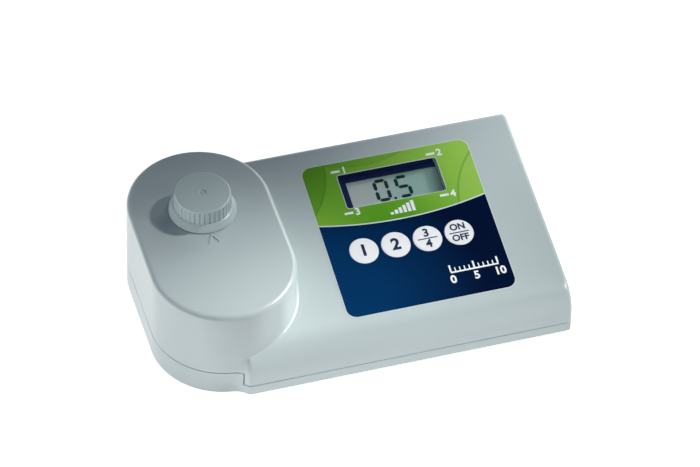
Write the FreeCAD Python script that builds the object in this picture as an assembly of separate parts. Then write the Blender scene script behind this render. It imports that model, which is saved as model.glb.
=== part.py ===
import FreeCAD, Part
import math
import os

from FreeCAD import Placement, Rotation, Vector

os.makedirs("parts", exist_ok=True)

# Compact bench photometer: a stadium-shaped tower with a sample vial, and a sloping console beside it.
# Millimetres, +Z up, +X towards the console's right end, +Y towards the back.
# The origin is the middle of the bounding box's bottom, on the surface the feet stand on.

# Overall sizes
overall_length = 190.0
overall_width = 110.0
foot_height = 1.5
tower_top = 51.3
wall = 2.5

# Tower
tower_radius = 33.2
tower_front_offset = 3.7
tower_rim_radius = 2.4
tower_parting = 14.8

# Console
console_left_inset = 34.0
console_back_setback = 7.2
console_front_height = 25.0
console_back_drop = 5.142
roll_radius = 14.0
back_edge_radius = 3.0
end_draft = 2.2
end_edge_radius = 2.2
left_corner_radius = 3.4
blend_side_radius = 1.5
blend_turn_radius = 4.0
blend_front_radius = 12.0
bottom_edge_radius = 0.8
console_parting = 7.6

# Joint between the two housings
groove_height = 0.45
groove_depth = 0.7
seal_inset = 1.0
seal_width = 0.8
seal_depth = 0.9

# Panel foil, in the slope's own coordinates: x as above, s up the slope from the front, n out of it
panel_width_share = 0.653722
panel_right_margin = 24.3
panel_front = 10.9
panel_back_margin = 11.355
panel_corner = 5.0
foil_thickness = 0.4
foil_proud = 0.1

# Display
window_shift_x = 0.5
window_from_back = 16.4
window_width = 47.8
window_height = 18.6
window_corner = 1.2
window_thickness = 1.0
window_below = 0.2
window_ledge = 0.6
display_area_width = 43.7
display_area_height = 14.6
display_area_shift_x = 1.5
display_area_shift_s = -0.9
window_gap = 0.1
bezel_plate = 1.0
bezel_wall = 2.0
lcd_margin = 3.0
lcd_thickness = 2.6
lcd_gap = 0.2
strip_width = 2.0
strip_inset = 2.0
strip_end_gap = 1.0

# Keys
key_count = 4
key_first_margin = 17.0
key_pitch_share = 0.188119
key_radius_share = 0.447368
key_from_front = 33.6
key_edge = 0.25
key_thickness = 1.2
key_travel = 0.4
key_gap = 0.15
key_stem_radius = 2.0
dome_radius = 3.4
dome_height = 0.9
dome_thickness = 0.25

# Main board
board_depth = 8.0
board_thickness = 1.6
board_corner = 2.0
board_margin_x = 4.6
board_margin_s = 2.9
standoff_radius = 3.0
board_screw_radius = 1.1
board_screw_head_radius = 2.2
board_screw_head_height = 1.4
board_screw_grip = 4.0
board_screw_gap = 0.2
standoff_inset = 4.0
chip_size = 12.0
chip_left_of_centre = 20.0
chip_from_front = 20.0
chip_height = 1.8
chip_lift = 0.2
small_chip_length = 7.0
small_chip_width = 5.0
small_chip_first = 2.0
small_chip_pitch = 14.0
small_chip_count = 3
pin_pitch = 1.8
pin_width = 0.6
pin_reach = 1.0
pin_thickness = 0.5
buzzer_radius = 6.0
buzzer_height = 4.0
buzzer_beside_bay = 5.7
buzzer_from_back = 40.7
buzzer_hole_radius = 1.0
buzzer_hole_depth = 0.6

# Sample vial, on the tower's axis
vial_before_back = 5.1
vial_radius = 12.0
vial_bottom = 9.5
vial_shoulder_drop = 5.8
vial_glass = 1.2
vial_floor = 1.5
vial_foot_edge = 0.8
vial_shoulder_inset = 0.9
vial_shoulder_rise = 1.8
vial_inner_drop = 0.4
neck_radius = 8.6
neck_start_drop = 1.5
neck_below_cap = 2.2
neck_wall = 1.4
neck_flare = 0.6
neck_flare_drop = 0.7
thread_pitch = 3.0
thread_height = 0.9
thread_base = 1.5
thread_crest = 0.6
thread_turns = 1.8
thread_start_rise = 1.3
thread_sunk = 0.4
thread_gap = 0.25
thread_lead_in = 0.2
thread_end_turns = 0.06

# Vial cap
cap_height = 11.2
cap_top_radius = 12.7
cap_skirt_radius = 13.2
cap_flange_radius = 15.5
cap_flange_edge = 0.6
cap_flange_height = 3.3
cap_flare = 0.5
cap_flare_height = 0.3
cap_above_tower = 0.3
cap_edge = 0.7
cap_rib_above_flange = 0.6
cap_ribs = 36
rib_groove_radius = 0.62
rib_reach = 0.2
rib_below_edge = 0.5
cap_bore_gap = 0.35
cap_pip_radius = 1.7
cap_pip_depth = 0.35
cap_pip_side = 0.3
cap_button_side = 0.2
cap_button_drop = 0.1
liner_thickness = 0.9
liner_gap = 0.1
liner_side_gap = 0.25

# Sample chamber
chamber_length = 40.0
chamber_width = 36.0
chamber_bore_gap = 0.6
chamber_floor = 3.5
mouth_gap = 0.9
port_height = 25.5
port_radius = 3.2
ear_radius = 3.8
ear_thickness = 3.0
ear_arm_share = 0.8
ear_side = 14.0
ear_post_height = 6.0
chamber_screw_radius = 1.3
chamber_screw_head_radius = 2.4
chamber_screw_head_height = 1.6
chamber_screw_gap = 0.2
chamber_screw_reach = 0.8
seal_ring_wire = 0.9
seal_ring_below_top = 2.6
seal_ring_gap = 0.3
optic_gap = 0.5
optic_board_width = 20.0
optic_board_height = 20.0
optic_board_thickness = 1.6
lamp_radius = 2.5
lamp_length = 4.2
lamp_tip_flat = 0.3
lens_gap = 0.6
lens_thickness = 1.2
lens_crown = 0.5
filter_thickness = 1.5
sensor_radius = 2.7
sensor_length = 3.6
sensor_flange = 0.5
sensor_flange_gap = 0.1
leaf_width = 8.0
leaf_thickness = 0.3
leaf_height = 18.0
leaf_bow = 1.6
leaf_gap = 0.15
leaf_side_gap = 0.2
leaf_back_gap = 0.1
leaf_end_gap = 0.05
leaf_slot_overlap = 2.0
leaf_below_port = 2.0
ribbon_thickness = 0.6
ribbon_width = 4.0
connector_height = 4.0
connector_length = 5.0
connector_inset = 11.0
connector_edge = 1.0
ribbon_clearance = 5.0
ribbon_dip = 6.0
ribbon_turn = 12.0
ribbon_drop = 0.4
chevron_gap = 0.3
chevron_reach_x = 2.4
chevron_reach_y = 5.0
chevron_stroke = 0.9
chevron_height = 0.4

# Batteries, lying along X side by side
cell_radius = 5.25
cell_length = 43.7
cell_nub_radius = 1.9
cell_nub_length = 0.8
cell_count = 4
cell_pitch = 10.9
bay_shift_x = 1.7
bay_back_clearance = 6.3
bay_length = 50.0
bay_width = 45.0
bay_wall = 1.5
cell_bottom = 4.6
cell_headroom = 0.4
contact_thickness = 0.5
contact_gap = 0.05
contact_edge = 0.6
cell_edge = 0.5
strip_spring_thickness = 0.35
strip_spring_width = 5.0
strip_spring_length = 9.6
lead_radius = 0.7
lead_gap = 0.2

# Battery cover
cover_thickness = 2.0
cover_margin_x = 8.0
cover_margin_y = 2.6
cover_corner = 3.0
cover_gap = 0.2
cover_seal_width = 1.0
cover_seal_depth = 0.8
cover_seal_gap = 0.05
cover_pad_height = 2.3
cover_notch_radius = 5.0
cover_screw_radius = 1.2
cover_screw_head_radius = 2.2
cover_screw_head_height = 1.1
cover_screw_length = 7.0
cover_screw_side = 17.0
cover_screw_inset = 3.6
cover_screw_gap = 0.15
cover_head_gap = 0.2
cover_head_sink = 0.1
cover_screw_play = 0.03
cover_boss_wall = 1.5
cover_blind_end = 1.0
cover_ring_margin = 0.6
cover_ring_corner = 2.0
cover_ring_side_share = 1 / 3
cover_rib_height = 0.9
cover_rib_width = 1.6
cover_rib_inset_x = 8.0
cover_rib_inset_y = 2.0

# Case screws and feet
case_screw_radius = 1.4
case_screw_head_radius = 2.6
case_screw_head_height = 1.8
case_screw_depth = 3.2
case_screw_grip = 9.0
case_boss_radius = 4.0
case_screw_inset = 11.0
tower_screw_front_inset = 13.0
tower_screw_back_inset = 9.5
screw_head_gap = 0.4
screw_gap = 0.3
slot_width = 0.7
slot_share = 0.7
foot_radius = 4.0
foot_recess = 0.8
foot_inset = 9.0
foot_desk_inset = 23.4
foot_behind_front = 2.1
foot_edge = 0.4
floor_embed = 1.0

# Limits for the modelling itself: overrun of a cut, depth of a joint, least edges and nearness
overrun = 1.0
joint_depth = 0.1
least_edge = 0.4
least_corner = 0.2
beyond = 5.0
nearness = 1e-3

# Values worked out from the sizes above
left_end = -overall_length / 2
right_end = overall_length / 2
front = -overall_width / 2
back = overall_width / 2
shell_bottom = foot_height
floor_top = shell_bottom + wall
embed_z = shell_bottom + floor_embed
tower_x = left_end + tower_radius
tower_side = tower_x + tower_radius
tower_front_y = front + tower_front_offset + tower_radius
tower_back_y = back - tower_radius
tower_roof = tower_top - wall
console_left = left_end + console_left_inset
console_back = back - console_back_setback
console_depth = console_back - front
slope = math.atan((tower_top - console_back_drop - console_front_height) / console_depth)
slope_turn = Rotation(Vector(1, 0, 0), math.degrees(slope))
panel_frame = Placement(Vector(0, front, console_front_height), slope_turn)
panel_width = panel_width_share * (right_end - tower_side)
panel_right = right_end - panel_right_margin
panel_left = panel_right - panel_width
panel_centre_x = (panel_left + panel_right) / 2
panel_back = console_depth / math.cos(slope) - panel_back_margin
window_centre_x = panel_centre_x - window_shift_x
window_centre_s = panel_back - window_from_back
key_pitch = key_pitch_share * panel_width
key_radius = key_radius_share * key_pitch
key_places = [panel_left + key_first_margin + i * key_pitch for i in range(key_count)]
key_s = panel_front + key_from_front
board_top_n = -board_depth
board_bottom_n = board_top_n - board_thickness
vial_x = tower_x
vial_y = tower_back_y - vial_before_back
vial_shoulder = tower_top - vial_shoulder_drop
cap_top = tower_top + cap_height
cap_flange_top = tower_top + cap_flange_height
neck_start = tower_top - neck_start_drop
neck_top = cap_top - neck_below_cap
thread_start = tower_top + thread_start_rise
chamber_bore = vial_radius + chamber_bore_gap
chamber_bottom = vial_bottom - chamber_floor
leaf_low = port_height - leaf_height / 2 - leaf_below_port
y_before_chamber = vial_y - chamber_width / 2 - ribbon_clearance
bay_centre_x = panel_centre_x + bay_shift_x
bay_centre_y = console_back - bay_back_clearance - bay_width / 2
bay_left = bay_centre_x - bay_length / 2
bay_right = bay_centre_x + bay_length / 2
bay_front = bay_centre_y - bay_width / 2
bay_back = bay_centre_y + bay_width / 2
cell_axis_z = cell_bottom + cell_radius
bay_roof = cell_axis_z + cell_radius + cell_headroom
cover_left = bay_left - cover_margin_x
cover_right = bay_right + cover_margin_x
cover_front = bay_front - cover_margin_y
cover_back = bay_back + cover_margin_y
cover_seat = shell_bottom + cover_thickness + cover_gap
high = cap_top + 4 * beyond


def block(x0, x1, y0, y1, z0, z1):
    return Part.makeBox(x1 - x0, y1 - y0, z1 - z0, Vector(x0, y0, z0))


def rod(x, y, z0, z1, radius):
    return Part.makeCylinder(radius, z1 - z0, Vector(x, y, z0))


def rod_x(x0, x1, y, z, radius):
    return Part.makeCylinder(radius, x1 - x0, Vector(x0, y, z), Vector(1, 0, 0))


def revolved(points, x, y):
    """Turn a closed outline of (radius, height) points about the vertical line through x, y."""
    corners = [Vector(r, 0, z) for r, z in points]
    face = Part.Face(Part.makePolygon(corners + corners[:1]))
    solid = face.revolve(Vector(0, 0, 0), Vector(0, 0, 1), 360)
    solid.translate(Vector(x, y, 0))
    return solid


def rounded_plate(x0, x1, y0, y1, z0, z1, radius):
    plate = block(x0, x1, y0, y1, z0, z1)
    uprights = [e for e in plate.Edges if abs(e.Vertexes[0].Z - e.Vertexes[1].Z) > (z1 - z0) / 2]
    return plate.makeFillet(radius, uprights)


def stadium(inset, z0, z1):
    """The tower's plan outline, moved inwards by inset, as an upright prism."""
    radius = tower_radius - inset
    y0, y1 = tower_front_y, tower_back_y
    sides = [
        Part.Arc(Vector(tower_x - radius, y0, z0), Vector(tower_x, y0 - radius, z0),
                 Vector(tower_x + radius, y0, z0)).toShape(),
        Part.LineSegment(Vector(tower_x + radius, y0, z0), Vector(tower_x + radius, y1, z0)).toShape(),
        Part.Arc(Vector(tower_x + radius, y1, z0), Vector(tower_x, y1 + radius, z0),
                 Vector(tower_x - radius, y1, z0)).toShape(),
        Part.LineSegment(Vector(tower_x - radius, y1, z0), Vector(tower_x - radius, y0, z0)).toShape(),
    ]
    return Part.Face(Part.Wire(sides)).extrude(Vector(0, 0, z1 - z0))


def surface_height(y, depth=0.0):
    """Height of the console's slope at y, or of the plane that lies depth below it."""
    return console_front_height + math.tan(slope) * (y - front) - depth / math.cos(slope)


def console_profile(inset, x):
    """Closed side outline of the console in the plane at x: floor, rolled front, slope and back."""
    y0, y1, z0 = front + inset, console_back - inset, shell_bottom + inset
    roll = roll_radius - inset
    roll_y = front + roll_radius
    roll_z = surface_height(roll_y) - roll_radius / math.cos(slope)
    edge = max(back_edge_radius - inset, least_edge)
    edge_y = y1 - edge
    edge_z = surface_height(edge_y, inset + edge)
    up, half_up = math.pi / 2 + slope, (math.pi / 2 + slope) / 2
    half_roll = (math.pi + up) / 2

    def on_circle(cy, cz, radius, angle):
        return Vector(x, cy + radius * math.cos(angle), cz + radius * math.sin(angle))

    roll_low, roll_high = Vector(x, y0, roll_z), on_circle(roll_y, roll_z, roll, up)
    edge_high, edge_low = on_circle(edge_y, edge_z, edge, up), Vector(x, y1, edge_z)
    foot_front, foot_back = Vector(x, y0, z0), Vector(x, y1, z0)
    return Part.Wire([
        Part.LineSegment(foot_front, roll_low).toShape(),
        Part.Arc(roll_low, on_circle(roll_y, roll_z, roll, half_roll), roll_high).toShape(),
        Part.LineSegment(roll_high, edge_high).toShape(),
        Part.Arc(edge_high, on_circle(edge_y, edge_z, edge, half_up), edge_low).toShape(),
        Part.LineSegment(edge_low, foot_back).toShape(),
        Part.LineSegment(foot_back, foot_front).toShape(),
    ])


def end_wall_x(z):
    """The console's right wall leans in with height, from the top of its rounded bottom edge."""
    return right_end - (z - shell_bottom - bottom_edge_radius) * math.tan(math.radians(end_draft))


def console(inset):
    """The console as a plain solid with sharp ends, moved inwards by inset."""
    x0 = console_left + inset
    desk = Part.Face(console_profile(inset, x0)).extrude(Vector(right_end - x0, 0, 0))
    lean = inset / math.cos(math.radians(end_draft))
    low, top = Vector(end_wall_x(0) - lean, front, 0), Vector(end_wall_x(high) - lean, front, high)
    outer = [low, top, top + Vector(high, 0, 0), low + Vector(high, 0, 0)]
    return desk.cut(Part.Face(Part.makePolygon(outer + outer[:1])).extrude(Vector(0, overall_width, 0)))


def end_edges(solid, wall_x):
    """The edges of the console's outline at one end, without the one along its floor."""
    return [e for e in solid.Edges
            if all(abs(v.X - wall_x(v.Z)) < nearness for v in e.Vertexes)
            and max(v.Z for v in e.Vertexes) > shell_bottom + nearness]


def rounded(solid, rounds):
    """Round several edges at once; each entry is an edge with the radius at its start and at its end."""
    numbers = {edge.hashCode(): number for number, edge in enumerate(solid.Edges, 1)}
    document = FreeCAD.newDocument()
    plain, result = document.addObject("Part::Feature"), document.addObject("Part::Fillet")
    plain.Shape = solid
    result.Base = plain
    result.Edges = [(numbers[edge.hashCode()], start, end) for edge, start, end in rounds]
    document.recompute()
    return result.Shape.Solids[0]


def on_tower_wall(point):
    nearest_y = min(max(point.y, tower_front_y), tower_back_y)
    return abs(math.hypot(point.x - tower_x, point.y - nearest_y) - tower_radius) < nearness


def blend_radius_at(point):
    """The inside corner's radius grows from the tower's flat side towards its front."""
    turn_y = front + roll_radius * (1 - math.sin(slope))
    if point.y < turn_y - nearness:
        return blend_front_radius
    if point.y < turn_y + nearness:
        return blend_turn_radius
    return blend_side_radius


def blend_console(solid):
    """Round the inside corner between the console's top and the tower's wall."""
    rounds = []
    for edge in solid.Edges:
        ends = [v.Point for v in edge.Vertexes]
        middle = edge.valueAt((edge.FirstParameter + edge.LastParameter) / 2)
        upright = max(abs(p.x - q.x) + abs(p.y - q.y) for p in ends for q in ends) < nearness
        if upright or middle.z < tower_parting or middle.z > tower_top - tower_rim_radius - overrun:
            continue
        if all(on_tower_wall(p) for p in ends + [middle]) and middle.x > console_left:
            rounds.append((edge, blend_radius_at(ends[0]), blend_radius_at(ends[-1])))
    return rounded(solid, rounds)


def level_edges(solid, z):
    return [e for e in solid.Edges if all(abs(v.Z - z) < nearness for v in e.Vertexes)]


def case_outside():
    tower = stadium(0, shell_bottom, tower_top)
    tower = tower.makeFillet(tower_rim_radius, level_edges(tower, tower_top))
    tower = tower.makeFillet(bottom_edge_radius, level_edges(tower, shell_bottom))
    desk = console(0)
    desk = rounded(desk, [(e, end_edge_radius, end_edge_radius) for e in end_edges(desk, end_wall_x)]
                   + [(e, left_corner_radius, left_corner_radius)
                      for e in end_edges(desk, lambda z: console_left)]
                   + [(e, bottom_edge_radius, bottom_edge_radius) for e in level_edges(desk, shell_bottom)])
    return blend_console(tower.fuse(desk).removeSplitter())


def case_inside():
    return stadium(wall, floor_top, tower_roof).fuse(console(wall)).removeSplitter()


def footprint(inset, z0, z1):
    """The case's plan outline near the floor, moved inwards by inset, as an upright prism."""
    desk = block(console_left + inset, right_end - inset, front + inset, console_back - inset, z0, z1)
    for x, radius in ((right_end - inset, end_edge_radius), (console_left + inset, left_corner_radius)):
        corners = [e for e in desk.Edges if abs(e.Vertexes[0].X - x) < nearness
                   and abs(e.Vertexes[0].Z - e.Vertexes[1].Z) > 0.5 * (z1 - z0)]
        desk = desk.makeFillet(max(radius - inset, least_corner), corners)
    return desk.fuse(stadium(inset, z0, z1)).removeSplitter()


def lower_zone(drop):
    """The space below the parting line, moved down and outwards from its step by drop."""
    x0, x1, y0, y1 = left_end - beyond, right_end + beyond, front - beyond, back + beyond
    zone = block(x0, x1, y0, y1, -beyond, console_parting - drop)
    left = block(x0, console_left - drop, y0, y1, -beyond, tower_parting - drop)
    behind = block(x0, x1, console_back + drop, y1, -beyond, tower_parting - drop)
    return zone.fuse(left).fuse(behind)


def parting_band(inset_out, inset_in, height):
    """A ring in the case's wall, straight below the parting line."""
    ring = footprint(inset_out, 0, tower_parting + beyond).cut(footprint(inset_in, 0, tower_parting + beyond))
    return ring.common(lower_zone(0).cut(lower_zone(height)))


def on_panel(solid):
    """Move a solid from the slope's own coordinates to its place."""
    moved = solid.copy()
    moved.Placement = panel_frame.multiply(moved.Placement)
    return moved


def save(solid, node):
    solid = solid.removeSplitter() if len(solid.Solids) == 1 else solid
    solid.exportStep("parts/" + node + ".step")
    print(node, len(solid.Solids), round(solid.Volume, 1), solid.isValid())


# Places of screws and feet
desk_screw_x = right_end - case_screw_inset
case_screw_places = [
    (tower_x, front + tower_front_offset + tower_screw_front_inset),
    (tower_x, back - tower_screw_back_inset),
    (desk_screw_x, front + case_screw_inset),
    (desk_screw_x, console_back - case_screw_inset),
]
foot_places = {
    "front_left_foot": (left_end + foot_inset, tower_front_y + foot_behind_front),
    "back_left_foot": (left_end + foot_inset, tower_back_y),
    "front_right_foot": (right_end - foot_inset, front + foot_desk_inset),
    "back_right_foot": (right_end - foot_inset, console_back - foot_desk_inset),
}
ear_x = chamber_length / 2 + ear_radius
ear_places = [(vial_x + i * ear_x, vial_y + j * ear_side) for i in (-1, 1) for j in (-1, 1)]
cover_screw_xs = (cover_left + cover_screw_inset, cover_right - cover_screw_inset)
cover_screw_places = [(x, bay_centre_y + j * cover_screw_side) for x in cover_screw_xs for j in (-1, 1)]
board_left = panel_left - board_margin_x
board_right = panel_right + board_margin_x
board_front = panel_front - board_margin_s
board_back = panel_back + board_margin_s
connector_front_s = board_front + connector_inset
connector_back_s = board_back - connector_inset
standoff_places = [(x, s) for x in (board_left + standoff_inset, board_right - standoff_inset)
                   for s in (board_front + standoff_inset, board_back - standoff_inset)]


def window_box(grow, n0, n1):
    half_width, half_height = window_width / 2 + grow, window_height / 2 + grow
    return rounded_plate(window_centre_x - half_width, window_centre_x + half_width,
                         window_centre_s - half_height, window_centre_s + half_height,
                         n0, n1, window_corner)


def panel_cuts():
    """Everything that is cut from the top's slope: foil pocket, window, key wells and stem holes."""
    pocket = rounded_plate(panel_left, panel_right, panel_front, panel_back,
                           foil_proud - foil_thickness, overrun, panel_corner)
    ledge = -window_below - window_thickness
    cuts = [pocket, window_box(0, ledge, overrun),
            window_box(-window_ledge, -wall - overrun, ledge + overrun)]
    well = foil_proud - key_thickness - key_travel - key_gap
    for x in key_places:
        cuts.append(rod(x, key_s, well, overrun, key_radius + key_gap))
        cuts.append(rod(x, key_s, -wall - overrun, well + overrun, key_stem_radius + key_gap))
    return on_panel(Part.makeCompound(cuts))


def upper_bosses():
    """Screw bosses under the top, and the board's standoffs, still running out through the top."""
    parts = []
    for x, y in case_screw_places:
        boss_foot = tower_parting if x < console_left else console_parting
        boss = rod(x, y, boss_foot, high, case_boss_radius)
        tip = shell_bottom + case_screw_depth + case_screw_reach(x)
        parts.append(boss.cut(rod(x, y, 0, tip, case_screw_radius)))
    for x, s in standoff_places:
        post = rod(x, s, board_top_n, 0, standoff_radius)
        hole = rod(x, s, board_top_n - overrun, board_top_n + board_screw_grip, board_screw_radius)
        parts.append(on_panel(post.cut(hole)))
    return parts


def case_screw_reach(x):
    """Length of a case screw from its head's seat to its tip."""
    boss_foot = tower_parting if x < console_left else console_parting
    return boss_foot - shell_bottom - case_screw_depth + case_screw_grip


def chevron():
    """Raised alignment mark on the tower's top, in front of the vial."""
    sunk = wall / 2
    apex = Vector(tower_x, vial_y - cap_flange_radius - chevron_gap - chevron_stroke / 2, tower_top - sunk)
    arms = [rod(apex.x, apex.y, apex.z, tower_top + chevron_height, chevron_stroke / 2)]
    for side in (-1, 1):
        end = apex + Vector(side * chevron_reach_x, -chevron_reach_y, 0)
        across = Vector(end.y - apex.y, apex.x - end.x, 0).normalize() * (chevron_stroke / 2)
        corners = [apex + across, end + across, end - across, apex - across]
        outline = Part.Face(Part.makePolygon(corners + corners[:1]))
        arms.append(outline.extrude(Vector(0, 0, sunk + chevron_height)))
    return arms[0].fuse(arms[1:])


def upper_housing(outside, inside):
    shell = outside.cut(inside).cut(lower_zone(0))
    room = outside.common(block(left_end, right_end, front, back, console_parting, high))
    for boss in upper_bosses():
        shell = shell.fuse(boss.common(room))
    shell = shell.cut(rod(vial_x, vial_y, tower_roof - overrun, high, vial_radius + mouth_gap))
    shell = shell.cut(panel_cuts())
    return shell.fuse(chevron())


def lower_housing(outside, inside, seal):
    shell = outside.cut(inside).common(lower_zone(0))
    shell = shell.cut(parting_band(-overrun, groove_depth, groove_height)).cut(seal)
    shell = shell.fuse(block(cover_left - bay_wall, cover_right + bay_wall, cover_front - bay_wall,
                             min(cover_back + bay_wall, console_back - 0.5 * wall),
                             embed_z, cover_seat + cover_pad_height))
    shell = shell.fuse(block(bay_left - bay_wall, bay_right + bay_wall, bay_front - bay_wall,
                             bay_back + bay_wall, embed_z, bay_roof + bay_wall))
    for x, y in cover_screw_places:
        shell = shell.fuse(rod(x, y, floor_top, cover_seat + cover_screw_length,
                               cover_screw_radius + cover_boss_wall))
    for x, y in case_screw_places:
        boss_top = tower_parting if x < console_left else console_parting
        shell = shell.fuse(rod(x, y, embed_z, boss_top, case_boss_radius))
    for x, y in ear_places:
        shell = shell.fuse(rod(x, y, embed_z, floor_top + ear_post_height, ear_radius))
    shell = shell.cut(block(bay_left, bay_right, bay_front, bay_back, 0, bay_roof))
    shell = shell.cut(rounded_plate(cover_left, cover_right, cover_front, cover_back,
                                    0, cover_seat, cover_corner))
    for x, y in cover_screw_places:
        shell = shell.cut(rod(x, y, 0, cover_seat + cover_screw_length - cover_blind_end, cover_screw_radius))
    for x, y in case_screw_places:
        seat = shell_bottom + case_screw_depth
        shell = shell.cut(rod(x, y, 0, seat, case_screw_head_radius + screw_head_gap))
        shell = shell.cut(rod(x, y, 0, high, case_screw_radius + screw_gap))
    for x, y in ear_places:
        shell = shell.cut(rod(x, y, embed_z, high, chamber_screw_radius))
    for x, y in foot_places.values():
        shell = shell.cut(rod(x, y, 0, shell_bottom + foot_recess, foot_radius))
    for x, y in lead_places():
        shell = shell.cut(rod(x, y, bay_roof - overrun, high, lead_radius + lead_gap))
    return shell


def build_case():
    outside, inside = case_outside(), case_inside()
    seal = parting_band(seal_inset, seal_inset + seal_width, seal_depth)
    save(upper_housing(outside, inside), "upper_housing")
    save(lower_housing(outside, inside, seal), "lower_housing")
    save(seal, "housing_seal")
    for name, (x, y) in foot_places.items():
        foot = rod(x, y, 0, shell_bottom + foot_recess, foot_radius)
        save(foot.makeFillet(foot_edge, level_edges(foot, 0)), name)
    screws = [countersunk(x, y, shell_bottom + case_screw_depth, case_screw_reach(x),
                          case_screw_radius, case_screw_head_radius, case_screw_head_height)
              for x, y in case_screw_places]
    save(Part.makeCompound(screws), "case_screws")


def countersunk(x, y, seat, length, radius, head_radius, head_height):
    """A screw driven upwards, its head's flat top at seat, with a cross slot."""
    head = rod(x, y, seat - head_height, seat, head_radius)
    screw = head.fuse(rod(x, y, seat - head_height / 2, seat + length, radius))
    slot, half, deep = head_radius * slot_share, slot_width / 2, seat - head_height / 2
    for across, along in ((slot, half), (half, slot)):
        screw = screw.cut(block(x - across, x + across, y - along, y + along,
                                seat - head_height - overrun, deep))
    return screw


def driven_down(x, y, seat, length, radius, head_radius, head_height):
    """The same screw driven downwards onto a seat."""
    screw = countersunk(x, y, seat, length, radius, head_radius, head_height)
    screw.rotate(Vector(x, y, seat), Vector(1, 0, 0), 180)
    return screw


def build_keypad():
    foil = rounded_plate(panel_left, panel_right, panel_front, panel_back,
                         foil_proud - foil_thickness, foil_proud, panel_corner)
    foil = foil.cut(window_box(0, -overrun, overrun))
    for x in key_places:
        foil = foil.cut(rod(x, key_s, -overrun, overrun, key_radius + key_gap))
    save(on_panel(foil), "keypad_overlay")
    dome_top = board_top_n + dome_height
    for i, x in enumerate(key_places):
        disc = rod(x, key_s, foil_proud - key_thickness, foil_proud, key_radius)
        disc = disc.makeFillet(key_edge, level_edges(disc, foil_proud))
        stem = rod(x, key_s, dome_top + 0.5 * key_gap, foil_proud - key_thickness + joint_depth,
                   key_stem_radius)
        save(on_panel(disc.fuse(stem)), "key_%d" % (i + 1))
        ball = (dome_radius ** 2 + dome_height ** 2) / (2 * dome_height)
        dome = Part.makeSphere(ball, Vector(x, key_s, dome_top - ball))
        hollow = Part.makeSphere(ball - dome_thickness, Vector(x, key_s, dome_top - ball))
        dome = dome.cut(hollow).common(rod(x, key_s, board_top_n, dome_top + overrun, dome_radius))
        save(on_panel(dome), "snap_dome_%d" % (i + 1))


def build_display():
    ledge = -window_below - window_thickness
    save(on_panel(window_box(-window_gap, ledge, -window_below)), "display_window")
    area_x = window_centre_x + display_area_shift_x
    area_s = window_centre_s + display_area_shift_s
    lcd_x0 = window_centre_x - window_width / 2
    lcd_x1 = window_centre_x + window_width / 2 + lcd_margin
    lcd_s0 = area_s - display_area_height / 2 - lcd_margin
    lcd_s1 = area_s + display_area_height / 2 + lcd_margin
    plate_n = -wall - bezel_plate
    frame = block(lcd_x0 - bezel_wall, lcd_x1 + bezel_wall, lcd_s0 - bezel_wall, lcd_s1 + bezel_wall,
                  board_top_n, -wall)
    frame = frame.cut(block(lcd_x0, lcd_x1, lcd_s0, lcd_s1, board_top_n - overrun, plate_n))
    opening = block(area_x - display_area_width / 2, area_x + display_area_width / 2,
                    area_s - display_area_height / 2, area_s + display_area_height / 2, board_top_n, 0)
    save(on_panel(frame.cut(opening)), "display_bezel")
    glass_n = plate_n - lcd_thickness
    glass = block(lcd_x0 + lcd_gap, lcd_x1 - lcd_gap, lcd_s0 + lcd_gap, lcd_s1 - lcd_gap, glass_n, plate_n)
    save(on_panel(glass), "display_glass")
    strips = [block(lcd_x0 + strip_end_gap, lcd_x1 - strip_end_gap,
                    s - strip_width / 2, s + strip_width / 2, board_top_n, glass_n)
              for s in (lcd_s0 + strip_inset, lcd_s1 - strip_inset)]
    save(on_panel(Part.makeCompound(strips)), "contact_strips")


def build_main_board():
    board = rounded_plate(board_left, board_right, board_front, board_back, board_bottom_n, board_top_n,
                          board_corner)
    for x, s in standoff_places:
        board = board.cut(rod(x, s, board_bottom_n - overrun, 0, board_screw_radius + board_screw_gap))
    save(on_panel(board), "main_board")
    screw_length = board_thickness + board_screw_grip - board_screw_gap
    screws = [countersunk(x, s, board_bottom_n, screw_length, board_screw_radius,
                          board_screw_head_radius, board_screw_head_height) for x, s in standoff_places]
    save(on_panel(Part.makeCompound(screws)), "board_screws")
    chip_s = panel_front + chip_from_front
    processor = packaged_chip(panel_centre_x - chip_left_of_centre, chip_s, chip_size, chip_size)
    save(on_panel(processor), "processor")
    small = [packaged_chip(panel_centre_x + small_chip_first + i * small_chip_pitch, chip_s,
                           small_chip_length, small_chip_width) for i in range(small_chip_count)]
    save(on_panel(Part.makeCompound(small)), "board_chips")
    x, s = bay_right + buzzer_beside_bay, panel_back - buzzer_from_back
    low = board_bottom_n - buzzer_height
    buzzer = rod(x, s, low, board_bottom_n, buzzer_radius)
    hole = rod(x, s, low - overrun, low + buzzer_hole_depth, buzzer_hole_radius)
    save(on_panel(buzzer.cut(hole)), "buzzer")
    save(on_panel(Part.makeCompound(board_connectors())), "board_connectors")


def packaged_chip(x, s, length, width):
    body = block(x - length / 2, x + length / 2, s - width / 2, s + width / 2,
                 board_bottom_n - chip_height, board_bottom_n - chip_lift)
    pins = int(length / 2)
    for i in range(pins):
        pin_x = x + (i - (pins - 1) / 2) * pin_pitch
        body = body.fuse(block(pin_x - pin_width / 2, pin_x + pin_width / 2,
                               s - width / 2 - pin_reach, s + width / 2 + pin_reach,
                               board_bottom_n - pin_thickness, board_bottom_n))
    return body


def board_connectors():
    """Two sockets on the board's underside, for the lamp's and the detector's ribbons."""
    x = board_left + connector_edge
    return [block(x, x + connector_length, s - ribbon_width, s + ribbon_width,
                  board_bottom_n - connector_height, board_bottom_n)
            for s in (connector_front_s, connector_back_s)]


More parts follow.
